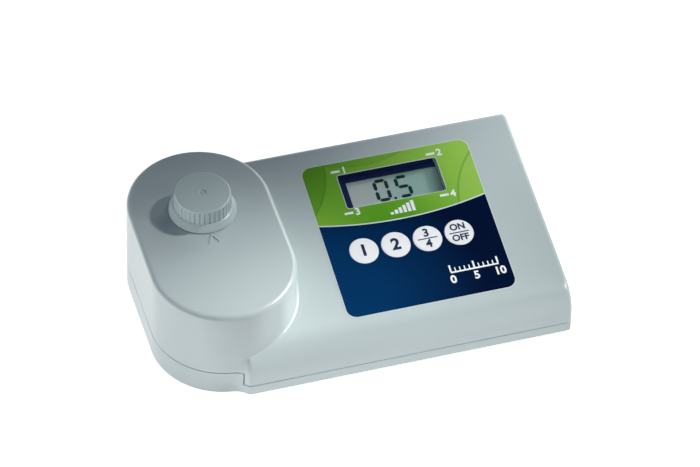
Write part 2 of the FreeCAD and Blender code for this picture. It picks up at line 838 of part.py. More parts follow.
def build_chamber():
    x0, x1 = vial_x - chamber_length / 2, vial_x + chamber_length / 2
    y0, y1 = vial_y - chamber_width / 2, vial_y + chamber_width / 2
    body = block(x0, x1, y0, y1, chamber_bottom, tower_roof)
    post_top = floor_top + ear_post_height
    arm = ear_radius * ear_arm_share
    for x, y in ear_places:
        body = body.fuse(block(min(x, vial_x), max(x, vial_x), y - arm, y + arm,
                               post_top, post_top + ear_thickness))
        body = body.fuse(rod(x, y, post_top, post_top + ear_thickness, ear_radius))
    body = body.cut(rod(vial_x, vial_y, vial_bottom, high, chamber_bore))
    body = body.cut(rod_x(x0 - overrun, x1 + overrun, vial_y, port_height, port_radius))
    ring_z = tower_roof - seal_ring_below_top
    ring_r = vial_radius + seal_ring_gap + seal_ring_wire
    body = body.cut(rod(vial_x, vial_y, ring_z - seal_ring_wire, ring_z + seal_ring_wire,
                        ring_r + seal_ring_wire))
    body = body.cut(leaf_slot())
    for x, y in ear_places:
        body = body.cut(rod(x, y, post_top - overrun, high, chamber_screw_radius + chamber_screw_gap))
    save(body, "sample_chamber")
    save(Part.makeTorus(ring_r, seal_ring_wire, Vector(vial_x, vial_y, ring_z)), "chamber_seal")
    screw_length = ear_thickness + ear_post_height + chamber_screw_reach
    screws = [driven_down(x, y, post_top + ear_thickness, screw_length, chamber_screw_radius,
                          chamber_screw_head_radius, chamber_screw_head_height) for x, y in ear_places]
    save(Part.makeCompound(screws), "chamber_screws")
    save(leaf_spring(), "vial_spring")


def leaf_slot():
    half = leaf_width / 2 + leaf_side_gap
    back_wall = vial_y + vial_radius + leaf_gap + leaf_bow + leaf_thickness + leaf_back_gap
    return block(vial_x - half, vial_x + half, vial_y + chamber_bore - leaf_slot_overlap, back_wall,
                 leaf_low, leaf_low + leaf_height)


def leaf_spring():
    """A strip bowed towards the vial, between the ends of its slot."""
    near = vial_y + vial_radius + leaf_gap
    far = near + leaf_bow
    z0, z1 = leaf_low + leaf_end_gap, leaf_low + leaf_height - leaf_end_gap
    x = vial_x - leaf_width / 2
    middle = (z0 + z1) / 2
    inner = Part.Arc(Vector(x, far, z0), Vector(x, near, middle), Vector(x, far, z1)).toShape()
    outer = Part.Arc(Vector(x, far + leaf_thickness, z1), Vector(x, near + leaf_thickness, middle),
                     Vector(x, far + leaf_thickness, z0)).toShape()
    ends = [Part.LineSegment(Vector(x, far, z), Vector(x, far + leaf_thickness, z)).toShape()
            for z in (z0, z1)]
    outline = Part.Wire(Part.__sortEdges__([inner, outer] + ends))
    return Part.Face(outline).extrude(Vector(leaf_width, 0, 0))


def build_optics():
    x0, x1 = vial_x - chamber_length / 2, vial_x + chamber_length / 2
    half_y, half_z = optic_board_width / 2, optic_board_height / 2
    for name, x in (("lamp_board", x0 - optic_board_thickness), ("detector_board", x1)):
        save(block(x, x + optic_board_thickness, vial_y - half_y, vial_y + half_y,
                   port_height - half_z, port_height + half_z), name)
    lamp = rod_x(x0, x0 + lamp_length, vial_y, port_height, lamp_radius)
    tip = [e for e in lamp.Edges if all(abs(v.X - x0 - lamp_length) < nearness for v in e.Vertexes)]
    save(lamp.makeFillet(lamp_radius - lamp_tip_flat, tip), "lamp")
    lens_x = x0 + lamp_length + lens_gap
    lens = rod_x(lens_x, lens_x + lens_thickness, vial_y, port_height, port_radius)
    ball = (port_radius ** 2 + lens_crown ** 2) / (2 * lens_crown)
    crown = Part.makeSphere(ball, Vector(lens_x + lens_thickness - ball, vial_y, port_height))
    save(lens.common(crown), "lamp_lens")
    sensor = rod_x(x1 - sensor_length, x1, vial_y, port_height, sensor_radius)
    flange = rod_x(x1 - sensor_flange, x1, vial_y, port_height, port_radius - sensor_flange_gap)
    sensor = sensor.fuse(flange)
    save(sensor, "photodiode")
    filter_x = x1 - sensor_length - optic_gap - filter_thickness
    save(rod_x(filter_x, filter_x + filter_thickness, vial_y, port_height, port_radius), "light_filter")
    socket_x = board_left + connector_edge
    ribbon_y0, ribbon_y1 = vial_y - half_y, vial_y + half_y
    lamp_end, sensor_end = connector_middle(connector_front_s), connector_middle(connector_back_s)
    lamp_x, sensor_x = x0 - optic_board_thickness / 2, x1 + optic_board_thickness / 2
    save(ribbon([(lamp_x, ribbon_y0), (lamp_x, y_before_chamber), (sensor_x, y_before_chamber - ribbon_dip),
                 (socket_x - ribbon_turn, lamp_end.y), (socket_x, lamp_end.y)],
                lamp_end.z - ribbon_width / 2), "lamp_ribbon")
    save(ribbon([(sensor_x, ribbon_y1), (sensor_x, sensor_end.y), (socket_x, sensor_end.y)],
                sensor_end.z - ribbon_width / 2 - ribbon_drop), "detector_ribbon")


def connector_middle(s):
    return panel_frame.multVec(Vector(board_left, s, board_bottom_n - connector_height / 2))


def ribbon(points, z):
    """A flat cable standing on edge along a route in plan, with rounded bends."""
    half = ribbon_thickness / 2
    strips = []
    for (xa, ya), (xb, yb) in zip(points, points[1:]):
        length = math.hypot(xb - xa, yb - ya)
        side = Vector(ya - yb, xb - xa, 0) * (half / length)
        a, b = Vector(xa, ya, z), Vector(xb, yb, z)
        corners = [a + side, b + side, b - side, a - side]
        strips.append(Part.Face(Part.makePolygon(corners + corners[:1])).extrude(Vector(0, 0, ribbon_width)))
    bends = [rod(x, y, z, z + ribbon_width, half) for x, y in points[1:-1]]
    return strips[0].fuse(strips[1:] + bends)


def thread(root, z, turns, grow):
    """A helical ridge standing on a cylinder of the given root radius; grow widens it all round."""
    helix = Part.makeHelix(thread_pitch, turns * thread_pitch, root)
    base, crest = thread_base / 2 + grow, thread_crest / 2 + grow
    tip = thread_height + grow
    corners = [Vector(root - thread_sunk, 0, -base), Vector(root + tip, 0, -crest),
               Vector(root + tip, 0, crest), Vector(root - thread_sunk, 0, base)]
    profile = Part.makePolygon(corners + corners[:1])
    ridge = Part.Wire(helix).makePipeShell([profile], True, True)
    ridge.translate(Vector(vial_x, vial_y, z))
    return ridge


def build_vial():
    floor = vial_bottom + vial_floor
    inner, neck_inner = vial_radius - vial_glass, neck_radius - neck_wall
    outside = [(0, vial_bottom), (vial_radius - vial_foot_edge, vial_bottom),
               (vial_radius, vial_bottom + vial_foot_edge), (vial_radius, vial_shoulder),
               (vial_radius - vial_shoulder_inset, vial_shoulder + vial_shoulder_rise),
               (neck_radius + neck_flare, neck_start - neck_flare_drop), (neck_radius, neck_start),
               (neck_radius, neck_top)]
    inside = [(neck_inner, neck_top), (neck_inner, neck_start - vial_inner_drop),
              (inner, vial_shoulder - vial_inner_drop), (inner, floor), (0, floor)]
    vial = revolved(outside + inside, vial_x, vial_y)
    save(vial.fuse(thread(neck_radius, thread_start, thread_turns, 0)), "sample_vial")
    liner_r = neck_radius + cap_bore_gap - liner_side_gap
    save(rod(vial_x, vial_y, neck_top, neck_top + liner_thickness, liner_r), "cap_liner")


def build_cap():
    base = tower_top + cap_above_tower
    bore, roof = neck_radius + cap_bore_gap, neck_top + liner_thickness + liner_gap
    rib_low = cap_flange_top + cap_rib_above_flange
    skirt = [(bore, base), (cap_flange_radius, base), (cap_flange_radius, base + cap_flange_edge),
             (cap_skirt_radius + cap_flare, cap_flange_top),
             (cap_skirt_radius, cap_flange_top + cap_flare_height), (cap_top_radius, cap_top)]
    button_radius, button_top = cap_pip_radius / 2, cap_top - cap_button_drop
    pip = [(cap_pip_radius, cap_top), (cap_pip_radius - cap_pip_side, cap_top - cap_pip_depth),
           (button_radius, cap_top - cap_pip_depth), (button_radius - cap_button_side, button_top),
           (0, button_top)]
    cap = revolved(skirt + pip + [(0, roof), (bore, roof)], vial_x, vial_y)
    cap = cap.makeFillet(cap_edge, [e for e in level_edges(cap, cap_top) if e.Curve.Radius > cap_pip_radius])
    grooves = []
    for i in range(cap_ribs):
        angle = 2 * math.pi * i / cap_ribs
        low = Vector(cap_skirt_radius + rib_reach, 0, rib_low)
        along = Vector(cap_top_radius + rib_reach, 0, cap_top - cap_edge - rib_below_edge) - low
        groove = Part.makeCylinder(rib_groove_radius, along.Length, low, along)
        groove.rotate(Vector(0, 0, 0), Vector(0, 0, 1), math.degrees(angle))
        groove.translate(Vector(vial_x, vial_y, 0))
        grooves.append(groove)
    cap = cap.cut(Part.makeCompound(grooves))
    lead_in = math.ceil((thread_start - base) / thread_pitch + thread_lead_in)
    cutter = thread(neck_radius, thread_start - lead_in * thread_pitch,
                    thread_turns + lead_in + thread_end_turns, thread_gap)
    save(cap.cut(cutter), "vial_cap")


def cell(x, y, positive):
    """One cell along X from its flat end at x; positive is +1 or -1, the way its nub points."""
    start = min(x, x + positive * cell_length)
    body = rod_x(start, start + cell_length, y, cell_axis_z, cell_radius)
    body = body.makeFillet(cell_edge, [e for e in body.Edges if e.Closed])
    tip = x + positive * (cell_length + cell_nub_length)
    return body.fuse(rod_x(min(x + positive * cell_length / 2, tip), max(x + positive * cell_length / 2, tip),
                           y, cell_axis_z, cell_nub_radius))


def bowed_strip(x, y, toward):
    """A bowed contact strip on its plate at x, its middle reaching to the cell."""
    rise = toward * (bay_length - 2 * contact_thickness - cell_length - cell_nub_length - 2 * contact_gap)
    side, reach, edge = y - strip_spring_width / 2, strip_spring_length / 2, strip_spring_thickness
    foot_low, foot_high = Vector(x, side, cell_axis_z - reach), Vector(x, side, cell_axis_z + reach)
    outer = Part.Arc(foot_low, Vector(x + rise, side, cell_axis_z), foot_high).toShape()
    inner_low, inner_high = foot_low + Vector(0, 0, edge), foot_high - Vector(0, 0, edge)
    inner = Part.Arc(inner_high, Vector(x + rise - toward * edge, side, cell_axis_z), inner_low).toShape()
    outline = Part.Wire([outer, Part.LineSegment(foot_high, inner_high).toShape(), inner,
                         Part.LineSegment(inner_low, foot_low).toShape()])
    return Part.Face(outline).extrude(Vector(0, strip_spring_width, 0))


def cell_places():
    """Middle y of each cell, and which way its nub points."""
    first = bay_centre_y - (cell_count - 1) / 2 * cell_pitch
    return [(first + i * cell_pitch, 1 if i % 2 == 0 else -1) for i in range(cell_count)]


def lead_places():
    y0, y1 = cell_places()[0][0], cell_places()[-1][0]
    x = bay_right - contact_thickness / 2
    return [(x, y0), (x, y1)]


def build_batteries():
    plate_left, plate_right = bay_left + contact_thickness, bay_right - contact_thickness
    springs = []
    for i, (y, way) in enumerate(cell_places()):
        nub_tip = plate_right - contact_gap if way > 0 else plate_left + contact_gap
        save(cell(nub_tip - way * (cell_length + cell_nub_length), y, way), "battery_cell_%d" % (i + 1))
        springs.append(bowed_strip(plate_left if way > 0 else plate_right, y, way))
    save(Part.makeCompound(springs), "battery_springs")
    ys = [y for y, way in cell_places()]
    half = cell_pitch / 2 - contact_edge
    low = cell_bottom + contact_edge
    plates = [block(bay_left, plate_left, ys[i] - half, ys[i + 1] + half, low, bay_roof) for i in (0, 2)]
    plates.append(block(plate_right, bay_right, ys[1] - half, ys[2] + half, low, bay_roof))
    plates += [block(plate_right, bay_right, y - half, y + half, low, bay_roof) for y in (ys[0], ys[3])]
    save(Part.makeCompound(plates), "battery_contacts")
    leads = [rod(x, y, bay_roof, surface_height(y - lead_radius, board_depth + board_thickness), lead_radius)
             for x, y in lead_places()]
    save(Part.makeCompound(leads), "battery_leads")


def cover_ring(grow, z0, z1):
    edge = bay_wall + cover_ring_margin
    side = edge * cover_ring_side_share
    return rounded_plate(bay_left - edge - grow, bay_right + edge + grow, bay_front - side - grow,
                         bay_back + side + grow, z0, z1, cover_ring_corner)


def build_cover():
    gap = cover_gap
    top = shell_bottom + cover_thickness
    cover = rounded_plate(cover_left + gap, cover_right - gap, cover_front + gap, cover_back - gap,
                          shell_bottom, top, cover_corner - gap)
    for x in (bay_left + cover_rib_inset_x, bay_right - cover_rib_inset_x):
        cover = cover.fuse(block(x - cover_rib_width / 2, x + cover_rib_width / 2,
                                 bay_front + cover_rib_inset_y, bay_back - cover_rib_inset_y,
                                 top - cover_gap, top + cover_rib_height))
    groove = cover_ring(cover_seal_width / 2, top + gap - cover_seal_depth, top + gap - cover_seal_gap)
    groove = groove.cut(cover_ring(-cover_seal_width / 2, 0, high))
    cover = cover.cut(groove)
    notch_top = shell_bottom + cover_thickness / 2
    cover = cover.cut(rod(cover_right, bay_centre_y, 0, notch_top, cover_notch_radius))
    seat = shell_bottom + cover_screw_head_height + cover_head_sink
    for x, y in cover_screw_places:
        cover = cover.cut(rod(x, y, 0, seat, cover_screw_head_radius + cover_head_gap))
        cover = cover.cut(rod(x, y, 0, high, cover_screw_radius + cover_screw_gap))
    save(cover, "battery_cover")
    save(groove, "cover_seal")
    screws = [countersunk(x, y, seat, cover_screw_length, cover_screw_radius - cover_screw_play,
                          cover_screw_head_radius, cover_screw_head_height) for x, y in cover_screw_places]
    save(Part.makeCompound(screws), "cover_screws")


build_case()
build_keypad()
build_display()
build_main_board()
build_chamber()
build_optics()
build_vial()
build_cap()
build_batteries()
build_cover()
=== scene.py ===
import math

import bpy
from mathutils import Matrix, Vector


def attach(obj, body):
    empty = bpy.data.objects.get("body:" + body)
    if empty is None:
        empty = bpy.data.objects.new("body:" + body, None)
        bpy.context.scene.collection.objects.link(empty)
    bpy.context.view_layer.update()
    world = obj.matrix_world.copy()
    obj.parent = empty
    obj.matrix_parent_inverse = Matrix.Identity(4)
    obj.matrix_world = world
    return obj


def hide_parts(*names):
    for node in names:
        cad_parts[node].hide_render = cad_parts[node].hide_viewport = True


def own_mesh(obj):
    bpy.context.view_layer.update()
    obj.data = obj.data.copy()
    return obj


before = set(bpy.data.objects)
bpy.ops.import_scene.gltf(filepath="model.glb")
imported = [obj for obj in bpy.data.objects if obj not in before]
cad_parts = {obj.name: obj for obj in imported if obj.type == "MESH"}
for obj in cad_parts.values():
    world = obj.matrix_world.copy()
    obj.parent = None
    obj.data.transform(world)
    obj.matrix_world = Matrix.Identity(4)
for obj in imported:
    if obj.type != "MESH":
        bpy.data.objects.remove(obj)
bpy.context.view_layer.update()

scene = bpy.context.scene
scene.view_settings.view_transform = "Standard"

# The console's slope: x as in the frame, s up the slope from the front, n out of it, all in millimetres
MILLIMETRE = 0.001
SLOPE = math.radians(11.63)
SLOPE_FOOT = Vector((0, -0.055, 0.025))
SLOPE_PLACE = (Matrix.Translation(SLOPE_FOOT) @ Matrix.Rotation(SLOPE, 4, "X")
               @ Matrix.Diagonal((MILLIMETRE, MILLIMETRE, MILLIMETRE, 1)))

# What is printed on the panel foil, in millimetres on the slope
PANEL_MIDDLE = (30.3, 52.25)
PANEL_HALF = (40.4, 41.35)
PANEL_CORNER = 5.0
WINDOW_MIDDLE = (29.8, 77.2)
WINDOW_HALF = (23.9, 9.3)
WINDOW_CORNER = 1.2
FIELD_ARC_MIDDLE = (28.7, 241.5)
FIELD_ARC_RADIUS = 184.0
KEY_PLACES = [(6.9 + 15.2 * i, 44.5) for i in range(4)]
FOIL_TOP = 0.1
PRINT_LIFT = 0.02
PRINT_TOP = FOIL_TOP + PRINT_LIFT
LETTER_WEIGHT = 0.034
DISPLAY_TOP = -3.5

# The walls of the window's opening: all that lies below this height and within this margin of the window.
# They are navy, with a pale right end.
WELL_TOP = -0.15
WELL_MARGIN = 0.5
WELL_TONE = (6, 36, 84)
WELL_END = (0.32, 0.46, 0.42, 1.0)

# The middle part of a noise pattern's values, where nearly all of them lie
NOISE_RANGE = (0.3, 0.7)


def tone(red, green, blue):
    """A colour given as 0 to 255, as the shaders want it."""
    def linear(value):
        value /= 255
        return value / 12.92 if value <= 0.04045 else ((value + 0.055) / 1.055) ** 2.4
    return linear(red), linear(green), linear(blue), 1.0


def scaled(colour, factor):
    """A colour made darker or lighter."""
    return tuple(min(c * factor, 1.0) for c in colour[:3]) + (1.0,)


class Shader:
    """A material under construction."""

    def __init__(self, name):
        self.material = bpy.data.materials.new(name)
        self.material.use_nodes = True
        self.tree = self.material.node_tree
        self.tree.nodes.clear()

    def add(self, kind, inputs=None, **settings):
        node = self.tree.nodes.new("ShaderNode" + kind)
        for key, value in settings.items():
            setattr(node, key, value)
        for key, value in (inputs or {}).items():
            if isinstance(value, bpy.types.NodeSocket):
                self.tree.links.new(value, node.inputs[key])
            else:
                node.inputs[key].default_value = value
        return node

    def math(self, operation, *values):
        return self.add("Math", dict(enumerate(values)), operation=operation).outputs[0]

    def vector(self, operation, *values):
        node = self.add("VectorMath", dict(enumerate(values)), operation=operation)
        return node.outputs["Value" if operation == "LENGTH" else "Vector"]

    def mix(self, factor, a, b):
        return self.add("Mix", {0: factor, 6: a, 7: b}, data_type="RGBA").outputs[2]

    def ramp(self, value, low, high, out_low=0.0, out_high=1.0):
        return self.add("MapRange", {"Value": value, "From Min": low, "From Max": high,
                                     "To Min": out_low, "To Max": out_high}).outputs["Result"]

    def noise(self, place, scale, detail=2.0):
        return self.add("TexNoise", {"Vector": place, "Scale": scale, "Detail": detail}).outputs["Fac"]

    def place(self):
        return self.add("TexCoord").outputs["Object"]

    def bump(self, height, strength, distance):
        inputs = {"Height": height, "Strength": strength, "Distance": distance}
        return self.add("Bump", inputs).outputs["Normal"]

    def done(self, **inputs):
        named = {key.replace("_", " "): value for key, value in inputs.items()}
        shader = self.add("BsdfPrincipled", named)
        self.add("OutputMaterial", {0: shader.outputs[0]})
        return self.material


def surface(name, colour, rough, spread=0.03, patches=25.0, grain=2500.0, depth=0.02, rough_spread=0.05,
            stretch=(1, 1, 1), well=None, right=None, **more):
    """A moulded, drawn or printed surface: slow colour change, fine grain in relief and in gloss.

    patches and grain are the scales of the two patterns, and depth is the relief in millimetres. well is the
    colour inside the window's opening. right is painted light: the colour that the surface takes on towards
    the right end of the window, made pale there to offset the shadow that the window's right wall casts.
    """
    s = Shader(name)
    place = s.place()
    along = s.add("Mapping", {"Vector": place, "Scale": stretch}).outputs["Vector"]
    slow, fine = s.noise(place, patches, 3.0), s.noise(along, grain)
    base = s.mix(s.ramp(slow, *NOISE_RANGE), scaled(colour, 1 - spread), scaled(colour, 1 + spread))
    if well:
        x = s.add("SeparateXYZ", {"Vector": slope_place(s, place)}).outputs["X"]
        at_end = s.math("GREATER_THAN", x, WINDOW_MIDDLE[0] + WINDOW_HALF[0] - WINDOW_CORNER)
        inner = s.mix(at_end, well, WELL_END)
        base = s.mix(in_window_well(s, place), base, inner)
    # Painted light: towards the window's right end the colour turns to right, which is made pale to offset
    # the shadow cast there.
    if right:
        x = s.add("SeparateXYZ", {"Vector": slope_place(s, place)}).outputs["X"]
        across = s.ramp(x, WINDOW_MIDDLE[0] - WINDOW_HALF[0], WINDOW_MIDDLE[0] + WINDOW_HALF[0] / 2)
        base = s.mix(across, base, right)
    gloss = s.ramp(s.noise(along, grain / 6, 3.0), *NOISE_RANGE, rough - rough_spread, rough + rough_spread)
    return s.done(Base_Color=base, Roughness=gloss, Normal=s.bump(fine, 0.5, depth * MILLIMETRE), **more)


def rounded_box_distance(s, place, middle, half, corner):
    """Distance outside a rounded rectangle on the slope, in millimetres."""
    flat = s.vector("MULTIPLY", place, (1, 1, 0))
    away = s.vector("ABSOLUTE", s.vector("SUBTRACT", flat, (middle[0], middle[1], 0)))
    beyond = s.vector("SUBTRACT", away, (half[0] - corner, half[1] - corner, 0))
    return s.math("SUBTRACT", s.vector("LENGTH", s.vector("MAXIMUM", beyond, (0, 0, 0))), corner)


def slope_place(s, place):
    """The place as x, distance up the slope and distance out of it, in millimetres."""
    return s.add("Mapping", {"Vector": place, "Location": SLOPE_FOOT, "Rotation": (SLOPE, 0, 0),
                             "Scale": (MILLIMETRE, MILLIMETRE, MILLIMETRE)},
                 vector_type="TEXTURE").outputs["Vector"]


def in_window_well(s, place):
    """1 on the walls of the window's opening, below the slope, and 0 elsewhere."""
    panel = slope_place(s, place)
    reach = (WINDOW_HALF[0] + WELL_MARGIN, WINDOW_HALF[1] + WELL_MARGIN)
    gap = rounded_box_distance(s, panel, WINDOW_MIDDLE, reach, WINDOW_CORNER)
    out = s.add("SeparateXYZ", {"Vector": panel}).outputs["Z"]
    return s.math("MULTIPLY", s.math("LESS_THAN", gap, 0.0), s.math("LESS_THAN", out, WELL_TOP))


# The green field: its lower colours from the middle outwards, its upper colours from left to right
GREEN_MIDDLE_X = 24.0
GREEN_OUTWARDS, LOW_GREENS = (8.0, 46.0), (tone(88, 158, 34), tone(146, 200, 74))
GREEN_ACROSS, HIGH_GREENS = (-8.0, 66.0), (tone(104, 166, 44), tone(158, 208, 86))
GREEN_UPWARDS = (58.0, 90.0)

# Round leaves printed in the green field: middle, radius, strength and colour
LIGHT_LEAF, DARK_LEAF, VEIN_GREEN = tone(166, 206, 100), tone(58, 118, 18), tone(40, 92, 14)
LEAVES = (((102.0, 54.0), 45.0, 0.35, LIGHT_LEAF),
          ((-40.0, 96.0), 41.5, 0.3, DARK_LEAF),
          ((20.0, 140.0), 50.5, 0.16, DARK_LEAF))
LEAF_BLUR = 0.7
VEIN_HALF = 0.15

# The navy field: paler round one place, with a wavering edge
GLOW_MIDDLE = (-12.0, 26.0, 0)
GLOW_RANGE, NAVIES = (30.0, 76.0), (tone(0, 50, 94), tone(0, 17, 50))
WAVER, WAVER_SCALE = 18.0, 0.012

# White lines, each from full ink to none, as a distance from the arc, the window and the foil's rim
ARC_LINE, WINDOW_LINE, RIM_LINE = (0.26, 0.36), (0.2, 0.3), (-0.24, -0.34)
LINE_WHITE = tone(222, 232, 228)
FOIL_ROUGHNESS = (0.33, 0.43)


def foil_material():
    """Green field over a navy one, parted by a shallow white arc, with white lines round window and rim.

    Lengths are millimetres on the slope.
    """
    s = Shader("printed_foil")
    place = s.place()
    panel = slope_place(s, place)
    parts = s.add("SeparateXYZ", {"Vector": panel})
    x, up = parts.outputs["X"], parts.outputs["Y"]
    flat = s.vector("MULTIPLY", panel, (1, 1, 0))
    arc = s.math("SUBTRACT", s.vector("LENGTH", s.vector("SUBTRACT", flat, FIELD_ARC_MIDDLE + (0,))),
                 FIELD_ARC_RADIUS)
    slow = s.noise(s.vector("MULTIPLY", flat, (WAVER_SCALE, WAVER_SCALE, 0)), 1.0, 2.0)

    side = s.math("ABSOLUTE", s.math("SUBTRACT", x, GREEN_MIDDLE_X))
    low_green = s.mix(s.ramp(side, *GREEN_OUTWARDS), *LOW_GREENS)
    high_green = s.mix(s.ramp(x, *GREEN_ACROSS), *HIGH_GREENS)
    green = s.mix(s.ramp(up, *GREEN_UPWARDS), low_green, high_green)
    for middle, reach, share, leaf in LEAVES:
        away = s.vector("LENGTH", s.vector("SUBTRACT", flat, middle + (0,)))
        green = s.mix(s.ramp(away, reach - LEAF_BLUR, reach + LEAF_BLUR, share, 0.0), green, leaf)
        vein = s.math("ABSOLUTE", s.math("SUBTRACT", away, reach))
        green = s.mix(s.ramp(vein, VEIN_HALF, LEAF_BLUR, share, 0.0), green, VEIN_GREEN)

    from_glow = s.vector("LENGTH", s.vector("SUBTRACT", flat, GLOW_MIDDLE))
    wavering = s.math("ADD", from_glow, s.math("MULTIPLY", slow, WAVER))
    navy = s.mix(s.ramp(wavering, *GLOW_RANGE), *NAVIES)
    colour = s.mix(s.ramp(arc, -0.05, 0.05), green, navy)

    arc_line = s.ramp(s.math("ABSOLUTE", arc), *ARC_LINE, 1.0, 0.0)
    window_gap = rounded_box_distance(s, panel, WINDOW_MIDDLE, WINDOW_HALF, WINDOW_CORNER)
    window_line = s.ramp(window_gap, *WINDOW_LINE, 1.0, 0.0)
    panel_gap = rounded_box_distance(s, panel, PANEL_MIDDLE, PANEL_HALF, PANEL_CORNER)
    rim_line = s.ramp(panel_gap, *RIM_LINE, 1.0, 0.0)
    lines = s.math("MAXIMUM", s.math("MAXIMUM", arc_line, window_line), rim_line)
    colour = s.mix(lines, colour, LINE_WHITE)
    fine = s.noise(place, 5200.0)
    gloss = s.ramp(s.noise(place, 900.0), *NOISE_RANGE, *FOIL_ROUGHNESS)
    return s.done(Base_Color=colour, Roughness=gloss, Normal=s.bump(fine, 0.4, 0.012 * MILLIMETRE),
                  Specular_IOR_Level=0.05)


# Materials
CASE_TONE = tone(196, 208, 207)
CASE_LOOK = dict(rough=0.32, spread=0.01, patches=18.0, grain=3200.0, depth=0.0008, rough_spread=0.02,
                 Coat_Weight=0.45, Coat_Roughness=0.15)
case_plastic = surface("case_plastic", CASE_TONE, **CASE_LOOK)
top_plastic = surface("top_plastic", CASE_TONE, well=tone(*WELL_TONE), **CASE_LOOK)
cap_plastic = surface("cap_plastic", tone(188, 203, 202), 0.38, spread=0.015, patches=60.0, grain=2600.0,
                      depth=0.0008, rough_spread=0.02, Coat_Weight=0.15, Coat_Roughness=0.25)
liner_white = surface("liner_white", tone(228, 226, 220), 0.55, grain=5000.0, depth=0.03)
key_white = surface("key_white", tone(253, 254, 255), 0.36, spread=0.01, grain=5200.0, depth=0.004)
print_white = surface("print_white", tone(250, 252, 251), 0.4, spread=0.01, grain=6000.0, depth=0.004)
print_navy = surface("print_navy", tone(8, 30, 66), 0.4, spread=0.02, grain=6000.0, depth=0.004)
display_ink = surface("display_ink", tone(10, 58, 66), 0.35, spread=0.05, patches=160.0, grain=4000.0,
                      depth=0.004)
bezel_navy = surface("bezel_navy", tone(4, 30, 88), 0.4, spread=0.05, grain=2200.0, depth=0.02)
# Painted light: the display grey turns to a pale green towards the window's right end, to offset the shadow
# that the window's right wall casts there.
display_grey = surface("display_grey", tone(232, 236, 234), 0.34, spread=0.03, patches=40.0, grain=1700.0,
                       depth=0.003, right=tone(176, 216, 201))
seal_rubber = surface("seal_rubber", tone(40, 42, 44), 0.75, spread=0.12, grain=1500.0, depth=0.05)
foot_rubber = surface("foot_rubber", tone(52, 54, 56), 0.7, spread=0.1, grain=1200.0, depth=0.06)
steel = surface("steel", tone(196, 198, 200), 0.34, spread=0.05, grain=1500.0, depth=0.02, stretch=(1, 1, 8),
                Metallic=1.0)
dome_steel = surface("dome_steel", tone(214, 208, 196), 0.22, spread=0.05, grain=1800.0, depth=0.01,
                     Metallic=1.0)
board_green = surface("board_green", tone(22, 82, 48), 0.38, spread=0.2, patches=220.0, grain=900.0,
                      depth=0.04)
chip_black = surface("chip_black", tone(34, 34, 37), 0.6, spread=0.1, grain=3000.0, depth=0.03)
socket_cream = surface("socket_cream", tone(224, 218, 198), 0.45, grain=2500.0, depth=0.02)
chamber_black = surface("chamber_black", tone(30, 31, 33), 0.7, spread=0.1, grain=1600.0, depth=0.06)
sensor_metal = surface("sensor_metal", tone(202, 186, 140), 0.34, spread=0.06, grain=1800.0, depth=0.02,
                       Metallic=1.0)
ribbon_grey = surface("ribbon_grey", tone(150, 152, 156), 0.5, spread=0.12, grain=700.0, depth=0.12,
                      stretch=(1, 1, 12))
cell_wrap = surface("cell_wrap", tone(58, 84, 104), 0.34, spread=0.05, grain=1800.0, depth=0.015,
                    stretch=(1, 6, 6), Coat_Weight=0.4, Coat_Roughness=0.2)
lead_red = surface("lead_red", tone(172, 34, 30), 0.45, grain=2000.0, depth=0.02)
strip_rubber = surface("strip_rubber", tone(196, 122, 132), 0.65, grain=1500.0, depth=0.04)
window_clear = surface("window_clear", tone(20, 34, 44), 0.06, spread=0.01, rough_spread=0.015, grain=600.0,
                       depth=0.0005, Alpha=0.08)
vial_glass = surface("vial_glass", tone(240, 247, 246), 0.05, spread=0.01, rough_spread=0.02, grain=300.0,
                     depth=0.004, Transmission_Weight=1.0, IOR=1.5)
lamp_clear = surface("lamp_clear", tone(236, 232, 210), 0.08, rough_spread=0.02, grain=900.0, depth=0.004,
                     Transmission_Weight=0.9, IOR=1.5)
filter_glass = surface("filter_glass", tone(210, 120, 60), 0.06, rough_spread=0.02, grain=500.0, depth=0.002,
                       Transmission_Weight=0.9, IOR=1.5)

NODE_MATERIALS = [
    (top_plastic, ["upper_housing"]),
    (case_plastic, ["lower_housing", "battery_cover"]),
    (seal_rubber, ["housing_seal", "cover_seal", "chamber_seal"]),
    (foot_rubber, ["front_left_foot", "back_left_foot", "front_right_foot", "back_right_foot"]),
    (steel, ["case_screws", "board_screws", "chamber_screws", "cover_screws", "vial_spring",
             "battery_springs", "battery_contacts"]),
    (dome_steel, ["snap_dome_%d" % i for i in range(1, 5)]),
    (foil_material(), ["keypad_overlay"]),
    (key_white, ["key_%d" % i for i in range(1, 5)]),
    (window_clear, ["display_window", "lamp_lens"]),
    (bezel_navy, ["display_bezel"]),
    (display_grey, ["display_glass"]),
    (strip_rubber, ["contact_strips"]),
    (board_green, ["main_board", "lamp_board", "detector_board"]),
    (chip_black, ["processor", "board_chips", "buzzer"]),
    (socket_cream, ["board_connectors"]),
    (chamber_black, ["sample_chamber"]),
    (lamp_clear, ["lamp"]),
    (sensor_metal, ["photodiode"]),
    (filter_glass, ["light_filter"]),
    (ribbon_grey, ["lamp_ribbon", "detector_ribbon"]),
    (vial_glass, ["sample_vial"]),
    (liner_white, ["cap_liner"]),
    (cap_plastic, ["vial_cap"]),
    (cell_wrap, ["battery_cell_%d" % i for i in range(1, 5)]),
    (lead_red, ["battery_leads"]),
]
for material, nodes in NODE_MATERIALS:
    for node in nodes:
        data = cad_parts[node].data
        data.materials.clear()
        data.materials.append(material)


def add_piece(name, mesh, body):
    """Put a mesh into the scene, riding on a body."""
    piece = bpy.data.objects.new(name, mesh)
    scene.collection.objects.link(piece)
    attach(piece, body)


def on_slope(name, verts, faces, material, body, n):
    """A thin printed piece: flat outlines on the slope at height n."""
    mesh = bpy.data.meshes.new(name)
    mesh.from_pydata([SLOPE_PLACE @ Vector((x, s, n)) for x, s in verts], [], faces)
    mesh.materials.append(material)
    add_piece(name, mesh, body)


